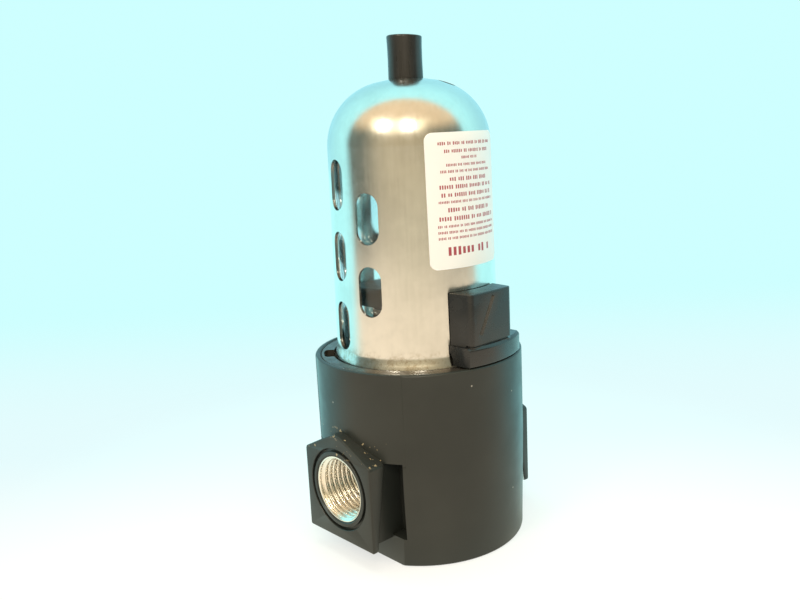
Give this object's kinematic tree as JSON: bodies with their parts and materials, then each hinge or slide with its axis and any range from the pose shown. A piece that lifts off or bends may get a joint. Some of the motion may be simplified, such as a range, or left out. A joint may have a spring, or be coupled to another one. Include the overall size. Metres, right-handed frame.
{
  "type": "compressed air line filter",
  "caption": "Compressed air line filter standing head down: black ported head, slotted metal bowl guard over a clear bowl, sliding latch and push-in drain tip.",
  "frame": {"origin": "centre of the head's flat face, on which the filter stands", "axes": "+Z from the head up to the drain tip, +X along the ports towards the second port, -Y towards the latch and the label"},
  "size_m": [0.0762, 0.07, 0.1653],
  "materials": {
    "head_paint": "satin black paint on die casting, bare metal in the port threads",
    "ring_black": "smooth semi-gloss black",
    "guard_metal": "drawn sheet, satin, fine marks along the draw",
    "clear_bowl": "clear moulded plastic",
    "black_plastic": "moulded",
    "latch_plastic": "moulded, glossier than the head",
    "drain_rubber": "smooth, slightly shiny",
    "seal_rubber": "matt",
    "element_media": "porous filter media",
    "plated_steel": "zinc plated",
    "brass": "machined",
    "label_paper": "white label with plain red bars, no lettering"
  },
  "bodies": {
    "head": {"head_body": "head_paint", "bayonet_ring": "ring_black", "deflector": "black_plastic", "element_seal_lower": "seal_rubber", "filter_element": "element_media", "element_seal_upper": "seal_rubber", "baffle": "black_plastic", "centre_stud": "plated_steel", "baffle_nut": "plated_steel"},
    "bowl": {"bowl": "clear_bowl", "bowl_o_ring": "seal_rubber", "drain_bushing": "brass", "drain_gasket": "seal_rubber", "drain_nut": "plated_steel"},
    "drain": {"drain_tip": "drain_rubber", "drain_rod": "brass", "drain_seal": "seal_rubber"},
    "guard": {"bowl_guard": "guard_metal", "label": "label_paper", "latch_guide": "plated_steel", "latch_rivet_lower": "plated_steel", "latch_rivet_upper": "plated_steel", "latch_spring": "plated_steel"},
    "latch": {"latch_slider": "latch_plastic"}
  },
  "joints": [
    {"name": "bowl_lift", "type": "slide", "parent": "head", "child": "bowl", "axis": [0, 0, 1], "range_m": [0, 0.06]},
    {"name": "guard_turn", "type": "hinge", "parent": "bowl", "child": "guard", "pos_m": [0, 0, 0.06], "axis": [0, 0, 1], "range_deg": [0, 53]},
    {"name": "latch_slide", "type": "slide", "parent": "guard", "child": "latch", "axis": [0, 0, 1], "range_m": [0, 0.003], "stiffness_N_per_m": 300, "springref_m": -0.003, "deforming": ["latch_spring"]},
    {"name": "drain_push", "type": "slide", "parent": "bowl", "child": "drain", "axis": [0, 0, 1], "range_m": [-0.002, 0], "stiffness_N_per_m": 400, "springref_m": 0.001}
  ]
}
